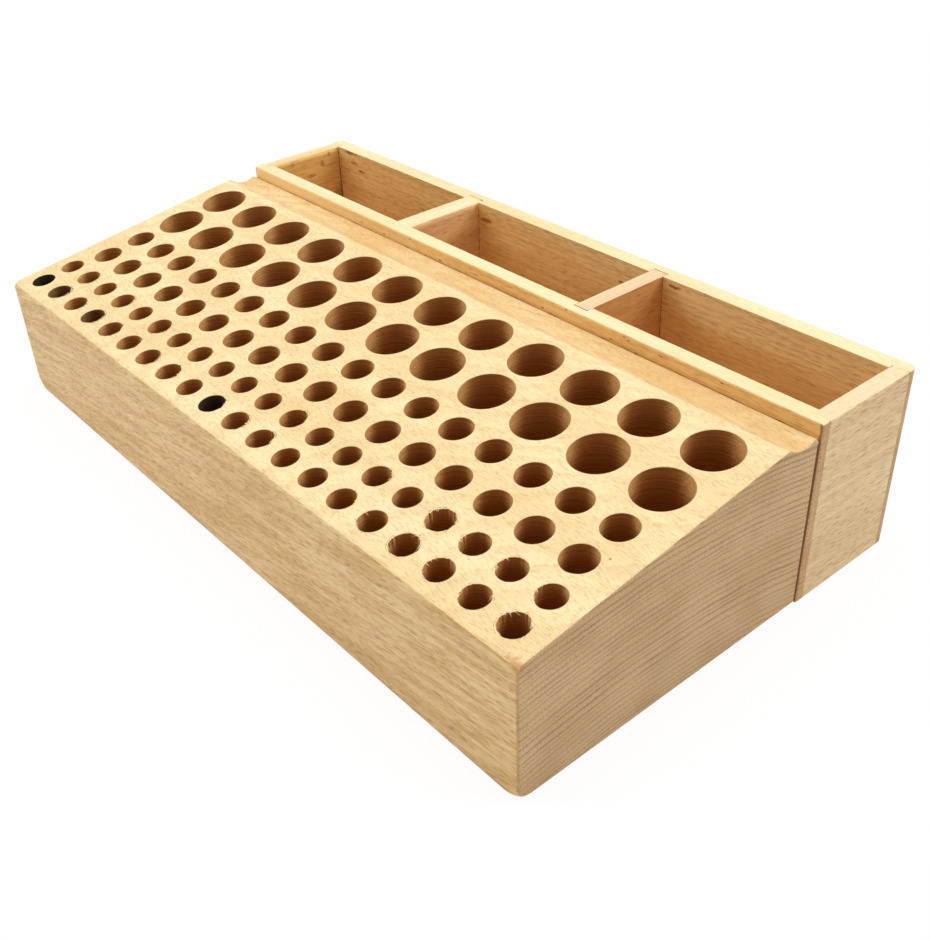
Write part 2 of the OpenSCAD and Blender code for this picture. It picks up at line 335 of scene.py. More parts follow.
def socket_wood(name):
    """Drilled wall: cutter rings, lighter and rough in the two quarters where the drill cut the grain the
    wrong way, which are also the flanks that the lamps light, so that part of that lightness is painted light;
    burnished in the other two; painted darker further down, as shade; scorched where the vertices say so."""
    s = Shader(name)
    place = s.grain_place("X")
    speck = s.noise(s.stretched(place, *SPECK), 3.0, 0.7)
    waver = s.noise(s.stretched(place, *WAVER))
    level = s.math("ADD", s.axes(place)[2], s.math("MULTIPLY", waver, 1.1))
    ring = s.noise(s.joined(z=s.math("MULTIPLY", level, CUTTER_RINGS)), 3.0, 0.65)
    # The dark tone stands for burnish, and for painted shade down in the socket
    deep = s.mix(s.ramp(ring, 0.35, 0.65), srgb(136, 72, 16), srgb(172, 100, 32))
    rough = s.math("ADD", s.math("MULTIPLY", ring, 0.6), s.math("MULTIPLY", speck, 0.4))
    lit_torn_wall = s.mix(s.ramp(rough, 0.36, 0.62), srgb(216, 150, 82), srgb(250, 200, 130))
    sunk = s.node("Attribute", attribute_name="sunk").outputs["Fac"]
    way = s.axes(s.node("NewGeometry").outputs["Normal"])
    flank_quarters = s.math("MULTIPLY", s.math("MULTIPLY", way[0], way[1]), 2.0)
    flank_quarters = s.math("ADD", flank_quarters, s.swing(speck, 0.7))
    # Painted light and shade: the flank quarters lighter, partly for the lamps' light on them, and the whole
    # wall darker further down, where shade falls
    pale = s.math("MULTIPLY", s.ramp(flank_quarters, -0.6, 0.7, 0.12, 1.0), s.ramp(sunk, 0.05, 0.8, 1.0, 0.2))
    colour = s.mix(pale, deep, lit_torn_wall)
    char = s.node("Attribute", attribute_name="scorch").outputs["Fac"]
    patch = s.ramp(s.math("ADD", char, s.swing(waver, 0.5)), 0.15, 0.85)
    colour = s.mix(s.math("MULTIPLY", patch, 0.93), colour, srgb(30, 20, 14))
    relief = s.math("ADD", s.math("MULTIPLY", ring, 0.7), s.math("MULTIPLY", speck, 0.35))
    return s.finish(colour, s.ramp(speck, 0.3, 0.7, *DRILLED), relief, 0.4, 0.2 * MM, 0.25)


def zinc(name):
    """Zinc-plated steel with a brushed, uneven tint."""
    s = Shader(name)
    place = s.grain_place("X")
    cloud = s.noise(s.stretched(place, *ZINC_CLOUD), 3.0)
    scratch = s.noise(s.stretched(place, *ZINC_SCRATCH))
    colour = s.mix(s.ramp(cloud, 0.35, 0.65), srgb(190, 186, 172), srgb(214, 206, 180))
    return s.finish(colour, s.ramp(scratch, 0.3, 0.7, *BRUSHED), scratch, 0.1, 0.02 * MM, 0.5, 1.0)


# Materials

# Where the middle of the trunk lies, across the grain of each board, in mm
BLOCK_PITH = (-38.0, -280.0)
WALL_PITH = (20.0, 260.0)
END_PITH = (420.0, 30.0)
BOARD_PITH = (300.0, 20.0)
FLOOR_PITH = (0.0, -300.0)

# Rise of the grain across the board
BLOCK_TILT = (-0.087, 0.14)
PANEL_TILT = (0.0, -0.06)

# Painted shade below a height or beyond a distance from the middle: on the tray wall in the gaps round the
# block, on the block's front where it meets the floor; a distance as far out as FAR_OUT shows on no end
FAR_OUT = 400.0
WALL_SHADE_X = 149.5
WALL_SHADE_Z = 60.5
FRONT_SHADE_Z = 0.9

KNOT = (112, 62, 24)
RESIN = (146, 64, 14)
SLOT_SHADE = (84, 42, 14)

# Stains, and painted shade where marked, as (place in mm, reach in X, Y and Z, colour, share)
TOP_STAINS = [((141.4, -41.7, 54.2), (0.5, 0.4, 0.5), KNOT, 0.8),
              ((149.0, -81.6, 48.6), (6.0, 3.0, 3.0), (214, 150, 82), 0.7)]
BLOCK_END_STAINS = [((150.0, -81.9, 48.2), (3.0, 3.0, 4.0), (196, 130, 64), 0.6)]
WALL_PINS = ((-69.9, 62.4), (-55.1, 61.7), (-38.0, 64.6), (-28.9, 60.9), (35.7, 61.6), (47.7, 64.9),
             (68.4, 61.7), (74.1, 64.7), (76.1, 64.1), (114.5, 64.2))
WALL_STAINS = [((x, tray_low.y, z), (0.9, 1.0, 0.4), KNOT, 0.8) for x, z in WALL_PINS]
INSIDE_STAINS = [((-135.5, rear_low.y, 64.6), (6.0, 2.0, 1.0), RESIN, 0.85),
                 ((-132.9, rear_low.y, 60.5), (3.4, 2.0, 1.3), (168, 92, 28), 0.65),
                 ((-127.7, rear_low.y, 57.7), (3.0, 2.0, 0.8), RESIN, 0.85),
                 ((-41.0, rear_low.y, 59.3), (4.2, 2.0, 1.4), RESIN, 0.8),
                 ((59.2, rear_low.y, 63.4), (3.6, 2.0, 0.8), RESIN, 0.85),
                 ((34.2, rear_low.y, 56.9), (2.0, 2.0, 0.8), RESIN, 0.85)]
# Painted shade: dark lines on the rear wall in the gaps beside each board's slot
SLOT_SHADE_LINES = [((x, rear_low.y, 46.0), (0.6, 2.0, 30.0), SLOT_SHADE, 0.85)
              for x in (left_end_x, left_board_x, right_board_x)]
# Painted shade: a dark spot in the gap where the right end meets the rear wall, and a golden band along the
# left end's rounded inner top edge
END_TOP_SHADE = [((144.5, 77.4, tray_high.z), (0.5, 1.6, 1.5), (120, 70, 28), 0.8),
                  ((-145.5, 57.0, 65.0), (5.0, 34.0, 4.0), (240, 196, 126), 0.6)]
END_INSIDE_STAINS_AND_SHADE = [((left_end_x, 70.9, 63.3), (2.0, 1.2, 1.8), (168, 92, 26), 0.6),
                     ((left_end_x, 66.8, 59.7), (2.0, 1.5, 2.0), (168, 92, 24), 0.65),
                     ((left_end_x, 51.1, 63.4), (2.0, 1.6, 1.6), (180, 104, 34), 0.5),
                     ((left_end_x, 60.1, 55.6), (2.0, 3.2, 1.2), (160, 84, 22), 0.65),
                     # Painted shade: the last two, a dark patch low down and a dark line up the corner with
                     # the rear wall
                     ((left_end_x, 74.6, 44.0), (2.0, 4.0, 6.0), (128, 66, 18), 0.5),
                     ((left_end_x, 76.3, 46.0), (2.0, 0.8, 30.0), (96, 50, 16), 0.8)]

# Painted light: the block's top takes a paler copy of its beech, as the lit side
top_wood = side_wood(
    "block_top", "X", ((252, 231, 181), (245, 217, 160)), ((206, 156, 90), 0.5, *FINE),
    ((238, 202, 144), 0.45, BLOCK_PITH, 1.9), tilt=BLOCK_TILT, spots=TOP_STAINS)
# Painted shade: the groove takes a darker copy of the top's beech, for its hollow
groove_wood = side_wood(
    "block_groove", "X", ((243, 214, 158), (232, 193, 129)), ((196, 142, 80), 0.55, *FINE),
    ((222, 178, 114), 0.4, BLOCK_PITH, 1.9), tilt=BLOCK_TILT)
# Painted shade: the front takes a darker, more orange copy of the beech, as the shaded side
front_wood = side_wood(
    "block_front", "X", ((245, 213, 155), (219, 177, 113)), ((160, 96, 36), 0.62, *MIDDLE),
    ((218, 178, 120), 0.35, BLOCK_PITH, 1.9), tilt=BLOCK_TILT, clouds=0.3, worn=(198, 140, 78),
    # the bottom band is painted contact shadow where the front meets the floor
    painted_shade=((176, 130, 80), (198, 150, 92), FAR_OUT, FRONT_SHADE_Z))
block_end_wood = end_wood(
    "block_end", ((217, 183, 137), (206, 171, 124)), ((132, 98, 62), 0.8), ((228, 196, 150), 0.22),
    BLOCK_PITH, 2.0, BLOCK_END_STAINS)
edge_wood = side_wood(
    "block_edge", "X", ((224, 184, 128), (206, 160, 102)), ((160, 106, 54), 0.4, *FINE),
    ((190, 140, 82), 0.4, BLOCK_PITH, 1.9))
# Painted shade: dark brown for the block's rear face, whose top shows in the gap against the tray wall
joint_shade_wood = side_wood(
    "painted_joint_shade", "X", ((120, 78, 36), (92, 56, 22)), ((60, 34, 14), 0.5, *FINE),
    ((80, 48, 20), 0.4, BLOCK_PITH, 2.2))
# Painted highlight: a slightly paler copy of the top's wood for the rims' rounds, for the light that they
# catch
rim_highlight_wood = side_wood(
    "socket_rim_highlight", "X", ((252, 231, 182), (244, 214, 156)), ((206, 156, 94), 0.5, *FINE),
    ((242, 212, 160), 0.3, BLOCK_PITH, 2.6))
drilled_wood = socket_wood("socket_wall")
sliver_wood = side_wood(
    "torn_fibre", "X", ((250, 226, 176), (238, 206, 148)), ((206, 160, 100), 0.4, *FINE),
    ((240, 210, 160), 0.3, BLOCK_PITH, 2.6))
wall_wood = side_wood(
    "tray_wall", "X", ((244, 204, 134), (234, 188, 114)), ((160, 98, 40), 0.45, *COARSE),
    # fade paints light: the wall lighter towards its left end
    ((216, 164, 94), 0.35, WALL_PITH, 2.4), (17.0, 0.0, 5.0), left_light=(253, 220, 156), pins=(KNOT, 0.85),
    # painted shade in the gaps below the block's ridge and beside its ends
    painted_shade=((84, 48, 18), (150, 98, 48), WALL_SHADE_X, WALL_SHADE_Z), spots=WALL_STAINS)
rear_wood = side_wood(
    "tray_rear", "X", ((244, 208, 142), (232, 190, 120)), ((160, 98, 40), 0.45, *COARSE),
    ((216, 164, 94), 0.35, WALL_PITH, 2.4), (71.0, 0.0, 11.0), pins=(KNOT, 0.7))
# Painted light: the walls' inside faces take a lighter, more orange copy of the beech, for the light that
# bounces inside the tray
inside_wood = side_wood(
    "tray_inside", "X", ((249, 212, 144), (237, 190, 114)), ((140, 76, 24), 0.5, *COARSE),
    ((212, 160, 92), 0.35, WALL_PITH, 2.4), (53.0, 0.0, 5.0), spots=INSIDE_STAINS + SLOT_SHADE_LINES)
# Painted light: the walls' tops take a paler copy of the beech, as the lit side
top_edge_wood = side_wood(
    "tray_top", "X", ((251, 237, 190), (245, 225, 170)), ((214, 172, 112), 0.4, *FINE),
    ((242, 218, 168), 0.3, WALL_PITH, 2.8), (9.0, 0.0, 5.0))
# Painted light: the end panels' tops take a paler copy of their beech, as the lit side
end_top_wood = side_wood(
    "tray_end_top", "Y", ((251, 234, 196), (246, 224, 180)), ((214, 172, 122), 0.4, *FINE),
    ((240, 212, 164), 0.3, END_PITH, 2.8), (0.0, 0.0, 5.0), spots=END_TOP_SHADE)
end_panel_wood = side_wood(
    "tray_end", "Y", ((240, 213, 163), (228, 197, 146)), ((146, 92, 40), 0.66, *PANEL),
    ((218, 184, 132), 0.35, END_PITH, 2.2), (0.0, 0.0, 9.0), PANEL_TILT, 0.3)
# Painted light: the end panels' inside faces take a more orange copy of their beech, for the light that
# bounces inside the tray
end_inside_wood = side_wood(
    "tray_end_inside", "Y", ((243, 199, 114), (234, 181, 92)), ((160, 98, 40), 0.5, *COARSE),
    ((212, 160, 92), 0.35, END_PITH, 2.2), (0.0, 0.0, 9.0), spots=END_INSIDE_STAINS_AND_SHADE)
lip_wood = end_wood(
    "tray_lip", ((216, 178, 132), (204, 162, 115)), ((154, 110, 70), 0.6), ((236, 200, 156), 0.3),
    WALL_PITH, 1.8)
left_board_wood = side_wood(
    "left_divider_face", "Y", ((240, 194, 132), (224, 168, 104)), ((132, 68, 22), 0.5, *COARSE),
    ((210, 152, 90), 0.35, BOARD_PITH, 2.4), (0.0, 40.0, 3.0))
# Painted light: the left board's top takes a paler copy of its beech, as the lit side
left_board_top_wood = side_wood(
    "left_divider_top", "Y", ((252, 236, 192), (247, 224, 174)), ((214, 168, 112), 0.4, *FINE),
    ((238, 204, 150), 0.3, BOARD_PITH, 2.6), (0.0, 40.0, 3.0))
right_board_wood = side_wood(
    "right_divider_face", "Y", ((232, 178, 114), (218, 156, 90)), ((134, 68, 26), 0.45, *COARSE),
    ((196, 130, 74), 0.35, BOARD_PITH, 2.4), (0.0, 90.0, 7.0))
# Painted light: the right board's top takes a paler copy of its beech, as the lit side
right_board_top_wood = side_wood(
    "right_divider_top", "Y", ((246, 218, 174), (240, 206, 158)), ((208, 156, 108), 0.4, *FINE),
    ((236, 194, 150), 0.3, BOARD_PITH, 2.6), (0.0, 90.0, 7.0))
floor_wood = side_wood(
    "tray_floor", "X", ((232, 190, 128), (218, 170, 106)), ((150, 94, 44), 0.5, *COARSE),
    ((202, 150, 90), 0.35, FLOOR_PITH, 3.0), (80.0, 12.0, 0.0))
screw_zinc = zinc("screw_zinc")


# The drilled block

END_EASE = 0.8 * MM
TOP_EASE = 0.35 * MM
EASE_STEPS = 4
GROOVE_WIDTH = 13.4 * MM
GROOVE_RADIUS = 9.5 * MM
GROOVE_INSET = 6.7 * MM
GROOVE_EDGE_ROUND = 2.4 * MM
RIDGE_ROUND = 2 * MM
FRONT_BOTTOM_ROUND = 1 * MM
FRONT_TOP_ROUND = 2 * MM
REAR_BOTTOM_ROUND = 0.6 * MM
SANDED_REACH = 6.5 * MM
SANDED_DEPTH = 1.4 * MM
WORN_REACH = 5 * MM
WORN_DEPTH = 1.1 * MM
SANDED_STEPS = [step * MM for step in (1.6, 2.4, 3.4, 4.8, 6.5)]
RIM_EASE = 0.18 * MM
RIM_LAND = 0.3 * MM
HOLLOW_STEPS = 10
CREST_STEPS = 8
ROUND_STEPS = 6
# An end's easing may take this share of a round at most
INSET_LIMIT = 0.8
# The middle of a rim's round lies this share of its easing out and down
ROUND_MIDDLE = 0.3
FLAT_WEIGHT = 100
TRUE_CORNER = math.radians(40)

# Sockets wider than this radius show the cutter's chatter
LARGE_FROM = 7 * MM
TORN_POINTS = 96
LARGE_POINTS = 56
SMALL_POINTS = 44
LARGE_STEP = 0.45 * MM
SMALL_STEP = 0.9 * MM
LARGE_STEPS_END = 16 * MM
SMALL_STEPS_END = 10 * MM
CHATTER_DEPTH = 0.05 * MM
CHATTER_TURN = 4.4
CHATTER_PHASE = 6.0
TORN_DOWN = 1.2 * MM
TORN_END = 5 * MM
# What the cutter leaves in a socket's floor: (share of the radius, depth)
FLOOR_CUTS = ((0.96, 0.25 * MM), (0.22, 0.25 * MM), (0.12, 1.6 * MM))

# Chips in torn rims: how many, their depth as a share of the deepest, and their half width in degrees
BITES_PER_SLIVER = 2
BITE_DEPTHS = (0.15, 1.0)
BITE_WIDTHS = (2.5, 6.0)
LIGHT_SCORCH = 0.12

# Torn slivers, with lengths and widths in mm; they are long where the rim runs beside the grain
SLIVER_STEPS = 4
SLIVER_TAPER = 0.7
SLIVER_SINK = 0.03 * MM
SLIVER_TIP_SINK = 0.05 * MM
SLIVER_ROOT_OUT = 0.15 * MM
SLIVER_ROOT_THICK = 0.12 * MM
SLIVER_TIP_THICK = 0.03 * MM
SLIVER_WIDTHS = (0.1, 0.2)
LONG_SLIVERS = (1.2, 2.8)
SHORT_SLIVERS = (0.5, 1.3)
BESIDE = 0.6

BLOCK_MATERIALS = [top_wood, groove_wood, front_wood, block_end_wood, edge_wood, joint_shade_wood, rim_highlight_wood,
                   drilled_wood]
TOP, GROOVE, FRONT, END, EDGE, JOINT, RIM, WALL = range(len(BLOCK_MATERIALS))


def fillet(before, corner, after, radius, steps):
    """Points of a round of that radius between two sides of an outline."""
    a, b = (before - corner).normalized(), (after - corner).normalized()
    half = a.angle(b) / 2
    centre = corner + (a + b).normalized() * (radius / math.sin(half))
    u = corner + a * (radius / math.tan(half)) - centre
    v = corner + b * (radius / math.tan(half)) - centre
    turn = u.angle(v)
    made = []
    for i in range(steps + 1):
        share = i / steps
        made.append(centre + (u * math.sin((1 - share) * turn) + v * math.sin(share * turn)) / math.sin(turn))
    return made


def arc(centre, radius, start, end, steps):
    """Points of an arc between two angles."""
    made = []
    for i in range(steps + 1):
        angle = start + (end - start) * i / steps
        made.append(centre + Vector((math.cos(angle), math.sin(angle))) * radius)
    return made


def block_outline():
    """[(point in Y and Z, material of the side that starts there, most inset)] round the block's end."""
    edge_y = block_high.y - GROOVE_WIDTH
    axis = Vector((block_high.y - GROOVE_INSET, 0))
    axis.y = top_z(edge_y) + math.sqrt(GROOVE_RADIUS ** 2 - (axis.x - edge_y) ** 2)
    ridge = Vector((block_high.y - RIDGE_ROUND, 0))
    ridge.y = axis.y - math.sqrt((GROOVE_RADIUS + RIDGE_ROUND) ** 2 - (ridge.x - axis.x) ** 2)
    start = math.atan2(top_z(edge_y) - axis.y, edge_y - axis.x)
    end = math.atan2(ridge.y - axis.y, ridge.x - axis.x)
    hollow = arc(axis, GROOVE_RADIUS, start, end, HOLLOW_STEPS)
    crest = arc(ridge, RIDGE_ROUND, end + math.pi, 0, CREST_STEPS)
    corners = [(Vector((block_high.y, 0)), REAR_BOTTOM_ROUND, ROUND_STEPS // 2, FRONT)]
    corners += [(Vector((block_low.y + step, 0)), 0, 0, FRONT) for step in reversed(SANDED_STEPS)]
    corners.append((Vector((block_low.y, 0)), FRONT_BOTTOM_ROUND, ROUND_STEPS, FRONT))
    corners += [(Vector((block_low.y, step)), 0, 0, FRONT) for step in SANDED_STEPS]
    corners.append((Vector((block_low.y, top_z(block_low.y))), FRONT_TOP_ROUND, ROUND_STEPS, TOP))
    corners.append((hollow[0], GROOVE_EDGE_ROUND, ROUND_STEPS, GROOVE))
    corners += [(p, 0, 0, GROOVE) for p in hollow[1:] + crest[1:-1]]
    corners.append((crest[-1], 0, 0, JOINT))
    made = []
    for i, (point, radius, count, after) in enumerate(corners):
        if not radius:
            made.append((point, after, TOP_EASE if after == GROOVE else END_EASE))
            continue
        before = corners[i - 1][0]
        beyond = corners[(i + 1) % len(corners)][0]
        previous = corners[i - 1][3]
        for k, p in enumerate(fillet(before, point, beyond, radius, count)):
            turned = k == count or after == GROOVE or after == TOP and k >= count / 2
            side = after if turned else previous
            limit = TOP_EASE if turned and after != FRONT else min(END_EASE, INSET_LIMIT * radius)
            made.append((p, side, limit))
    return made


def sanded(x, y, z):
    """A point of the block once its front corners are sanded round, the bottom ones more."""
    beside = block_high.x - abs(x) + y - block_low.y
    low = SANDED_DEPTH * max(0.0, 1 - (beside + z) / SANDED_REACH) ** 2
    high = WORN_DEPTH * max(0.0, 1 - (beside + top_z(y) - z) / WORN_REACH) ** 2
    return (x, y + low + high, z + low - high)


def inset(points, limits, depth):
    """The outline moved inwards by depth, less where it turns too tightly."""
    area = sum(a.cross(b) for a, b in zip(points, points[1:] + points[:1]))
    sign = 1 if area > 0 else -1
    made = []
    for i, p in enumerate(points):
        a = (p - points[i - 1]).normalized()
        b = (points[(i + 1) % len(points)] - p).normalized()
        n = Vector((-a.y, a.x)) * sign
        m = Vector((-b.y, b.x)) * sign
        made.append(p + (n + m) / (1 + n.dot(m)) * min(depth, limits[i]))
    return made


# Torn rims of the two small rows, by the socket's number from the left, in the order of their random draws:
# (slivers, (middle, spread) in degrees of each torn stretch, deepest chip in mm)
TORN_FRONT = {
    20: (16, ((250, 40), (150, 40), (40, 30)), 0.3),
    17: (14, ((235, 45), (70, 35)), 0.3),
    16: (6, ((230, 50),), 0.2),
    18: (6, ((200, 60),), 0.2),
    19: (6, ((200, 60), (40, 30)), 0.2),
    15: (6, ((30, 40),), 0.2),
    12: (7, ((25, 32),), 0.45),
    11: (7, ((25, 32),), 0.4),
    10: (3, ((25, 30),), 0.4),
    8: (5, ((25, 30),), 0.4),
    7: (7, ((25, 30),), 0.5),
    6: (4, ((25, 30),), 0.4),
    5: (4, ((20, 30),), 0.4),
    4: (7, ((20, 30),), 0.6),
    3: (4, ((20, 30),), 0.4),
    2: (8, ((20, 30),), 0.7),
}
TORN_REAR = {
    17: (14, ((200, 90), (20, 70)), 0.3),
    18: (6, ((210, 50),), 0.2),
    19: (6, ((210, 50),), 0.2),
    20: (6, ((210, 50),), 0.2),
    15: (6, ((30, 40),), 0.3),
    12: (4, ((25, 40),), 0.3),
    8: (4, ((25, 40),), 0.3),
    6: (5, ((25, 40),), 0.4),
    4: (5, ((25, 40),), 0.4),
    2: (5, ((25, 40),), 0.4),
}
TORN = {f"small_front_socket_{number:02d}": torn for number, torn in TORN_FRONT.items()}
TORN.update({f"small_rear_socket_{number:02d}": torn for number, torn in TORN_REAR.items()})

# Sockets that the drill scorched, and how dark they are
SCORCHED = {
    "small_front_socket_01": 1.0,
    "small_front_socket_10": 1.0,
    "small_front_socket_02": 0.55,
    "small_front_socket_04": 0.55,
}


def bites(torn, count, draw):
    """How far the rim is chipped away at each of its points."""
    made = [0.0] * count
    if not torn:
        return made
    slivers, sectors, deepest = torn
    for _ in range(slivers * BITES_PER_SLIVER):
        middle, spread = draw.choice(sectors)
        at = math.radians(draw.gauss(middle, spread))
        depth = draw.uniform(*BITE_DEPTHS) * deepest * MM
        width = math.radians(draw.uniform(*BITE_WIDTHS))
        for i in range(count):
            away = (math.tau * i / count - at + math.pi) % math.tau - math.pi
            made[i] = max(made[i], depth * max(0.0, 1 - (away / width) ** 2))
    return made


def drill(bm, bore, scorch, sunk, draw):
    """Makes one socket's rounded rim, wall and floor, and returns its outermost ring, which lies on the
    slope."""
    x, y, _ = bore["pos_m"]
    radius = bore["dims"]["r_mm"] * MM
    floor_z = bore["pos_m"][2] - bore["dims"]["length_mm"] * MM
    large = radius > LARGE_FROM
    torn = TORN.get(bore["name"])
    count = TORN_POINTS if torn else LARGE_POINTS if large else SMALL_POINTS
    frays = bites(torn, count, draw)
    darkness = SCORCHED.get(bore["name"], draw.uniform(0.0, LIGHT_SCORCH))
    chatter = draw.uniform(0.0, CHATTER_PHASE)

    def ring(spread, drop, fray):
        """A ring round the wall that follows the slope, with that share of the rim's bites."""
        made = []
        for i in range(count):
            angle = math.tau * i / count
            reach = radius + spread + frays[i] * fray
            px, py = x + reach * math.cos(angle), y + reach * math.sin(angle)
            made.append(bm.verts.new((px, py, top_z(py) - drop)))
        return made

    def level_ring(reach, z):
        """A ring in the floor."""
        made = []
        for i in range(count):
            angle = math.tau * i / count
            made.append(bm.verts.new((x + reach * math.cos(angle), y + reach * math.sin(angle), z)))
        return made

    # The rim's round takes the paler rim wood, a painted highlight
    rings = [(ring(RIM_EASE + RIM_LAND, 0, 1), TOP), (ring(RIM_EASE, 0, 1), RIM)]
    rings.append((ring(RIM_EASE * ROUND_MIDDLE, RIM_EASE * ROUND_MIDDLE, 1), RIM))
    rings.append((ring(0, RIM_EASE, 1), WALL))
    step, steps_end = (LARGE_STEP, LARGE_STEPS_END) if large else (SMALL_STEP, SMALL_STEPS_END)
    level = RIM_EASE
    while level < steps_end:
        level += step
        wave = CHATTER_DEPTH * math.sin(level / MM * CHATTER_TURN + chatter) if large else 0
        fray = max(0, min(1, (TORN_END - level) / (TORN_END - TORN_DOWN)))
        rings.append((ring(wave, level, fray), WALL))
    rings.append((level_ring(radius, floor_z), WALL))
    for spread, drop in FLOOR_CUTS:
        rings.append((level_ring(radius * spread, floor_z - drop), WALL))
    for (outer, material), (inner, _) in zip(rings, rings[1:]):
        for i in range(count):
            j = (i + 1) % count
            face = bm.faces.new((outer[i], outer[j], inner[j], inner[i]))
            face.material_index = material
            face.smooth = True
    cap = bm.faces.new(rings[-1][0])
    cap.material_index = WALL
    for verts, _ in rings[2:]:
        for v in verts:
            v[scorch] = darkness
            # How far down each point lies, which the wall's wood turns into painted shade
            v[sunk] = min(1.0, (top_z(v.co.y) - v.co.z) / (2 * radius))
    return rings[0][0]


def pierced(bm, border, holes, material):
    """Fills a flat face with that border around the holes' rings."""
    verts = list(border)
    owner = [-1] * len(border)
    edges = [(i, (i + 1) % len(border)) for i in range(len(border))]
    for number, ring in enumerate(holes):
        first = len(verts)
        verts += ring
        owner += [number] * len(ring)
        edges += [(first + i, first + (i + 1) % len(ring)) for i in range(len(ring))]
    flat = [Vector((v.co.x / MM, v.co.y / MM)) for v in verts]
    _, _, faces, origins, _, _ = delaunay_2d_cdt(flat, edges, [], 1, 1e-6)
    for face in faces:
        ids = [origins[i][0] for i in face]
        owners = {owner[i] for i in ids}
        if len(owners) == 1 and -1 not in owners:
            continue
        made = bm.faces.new([verts[i] for i in ids])
        made.material_index = material


def even_shading(piece, sharp=None):
    """Smooth rounds beside flat faces; where an angle is given, edges that turn more stay sharp."""
    mesh = piece.data
    mesh.polygons.foreach_set("use_smooth", [True] * len(mesh.polygons))
    shading = piece.modifiers.new("even_shading", "WEIGHTED_NORMAL")
    shading.weight = FLAT_WEIGHT
    if sharp:
        mesh.set_sharp_from_angle(angle=sharp)
        shading.keep_sharp = True


def add_piece(name, bm, materials, body, slot, *replaced):
    """Makes a piece of the mesh, on a body, and hides the nodes that it stands for; slot is not used."""
    mesh = bpy.data.meshes.new(name)
    bm.to_mesh(mesh)
    bm.free()
    piece = bpy.data.objects.new(name, mesh)
    bpy.context.scene.collection.objects.link(piece)
    for material in materials:
        mesh.materials.append(material)
    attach(piece, body)
    if replaced:
        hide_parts(*replaced)
    return piece


def block_sections(half):
    """[(place along the block, inset of the outline there)] from the left end to the right."""
    eased = []
    for k in range(EASE_STEPS + 1):
        turn = math.pi / 2 * k / EASE_STEPS
        eased.append((half - END_EASE + END_EASE * math.cos(turn), END_EASE * (1 - math.sin(turn))))
    inner = eased + [(half - step, 0.0) for step in SANDED_STEPS]
    return [(-x, depth) for x, depth in inner] + list(reversed(inner))


def edge_material(side, to_end):
    """Material of a strip of the block by its side and its place from the end: the edge line lies within
    the round."""
    if side == JOINT or to_end >= EASE_STEPS - 1:
        return side
    if side in (TOP, GROOVE):
        return side if to_end > 1 else END
    return EDGE if to_end else END


def make_block():
    """The block as its outline drawn out from end to end, with its sockets let into the sloped top."""
    draw = random.Random(11)
    bm = bmesh.new()
    scorch = bm.verts.layers.float.new("scorch")
    sunk = bm.verts.layers.float.new("sunk")
    outline = block_outline()
    points = [o[0] for o in outline]
    limits = [o[2] for o in outline]
    count = len(points)
    loops = []
    for x, depth in block_sections(block_high.x):
        loops.append([bm.verts.new(sanded(x, p.x, p.y)) for p in inset(points, limits, depth)])
    tops = [i for i in range(count) if outline[i][1] == TOP]
    top_side = max(tops, key=lambda i: (points[i + 1] - points[i]).length)
    last = len(loops) - 1
    for k in range(last):
        to_end = min(k, last - 1 - k)
        for i in range(count):
            j = (i + 1) % count
            if i == top_side and to_end >= EASE_STEPS:
                continue
            face = bm.faces.new((loops[k][i], loops[k][j], loops[k + 1][j], loops[k + 1][i]))
            face.material_index = edge_material(outline[i][1], to_end)
    for ring in (loops[0], loops[-1]):
        bm.faces.new(ring).material_index = END
    rims = [drill(bm, bore, scorch, sunk, draw) for bore in bores]
    flat = loops[EASE_STEPS:last - EASE_STEPS + 1]
    j = (top_side + 1) % count
    pierced(bm, [ring[top_side] for ring in flat] + [ring[j] for ring in reversed(flat)], rims, TOP)
    bmesh.ops.recalc_face_normals(bm, faces=bm.faces)
    piece = add_piece("drilled_block", bm, BLOCK_MATERIALS, "rack", "block_beech", "tool_block")
    even_shading(piece, TRUE_CORNER)


def add_sliver(bm, root, way, length, width, droop, bend):
    """One three-sided sliver that tapers from its root to a point, drooping and bending as it goes."""
    side = Vector((-way.y, way.x, 0))
    rows = []
    for k in range(SLIVER_STEPS):
        share = k / SLIVER_STEPS
        at = root + way * length * share + side * bend * length * share ** 2
        at.z += SLOPE * (at.y - root.y) - droop * length * share ** 2 - SLIVER_SINK
        half = width * (1 - share) ** SLIVER_TAPER
        thick = SLIVER_ROOT_THICK * (1 - share) + SLIVER_TIP_THICK
        below = Vector((0, 0, thick))
        rows.append([bm.verts.new(place) for place in (at + side * half, at - side * half, at - below)])
    tip = root + way * length + side * bend * length
    tip.z += SLOPE * (tip.y - root.y) - droop * length - SLIVER_TIP_SINK
    point = bm.verts.new(tip)
    for a, b in zip(rows, rows[1:]):
        for i in range(3):
            j = (i + 1) % 3
            bm.faces.new((a[i], a[j], b[j], b[i]))
    for i in range(3):
        bm.faces.new((rows[-1][i], rows[-1][(i + 1) % 3], point))
    bm.faces.new(rows[0])


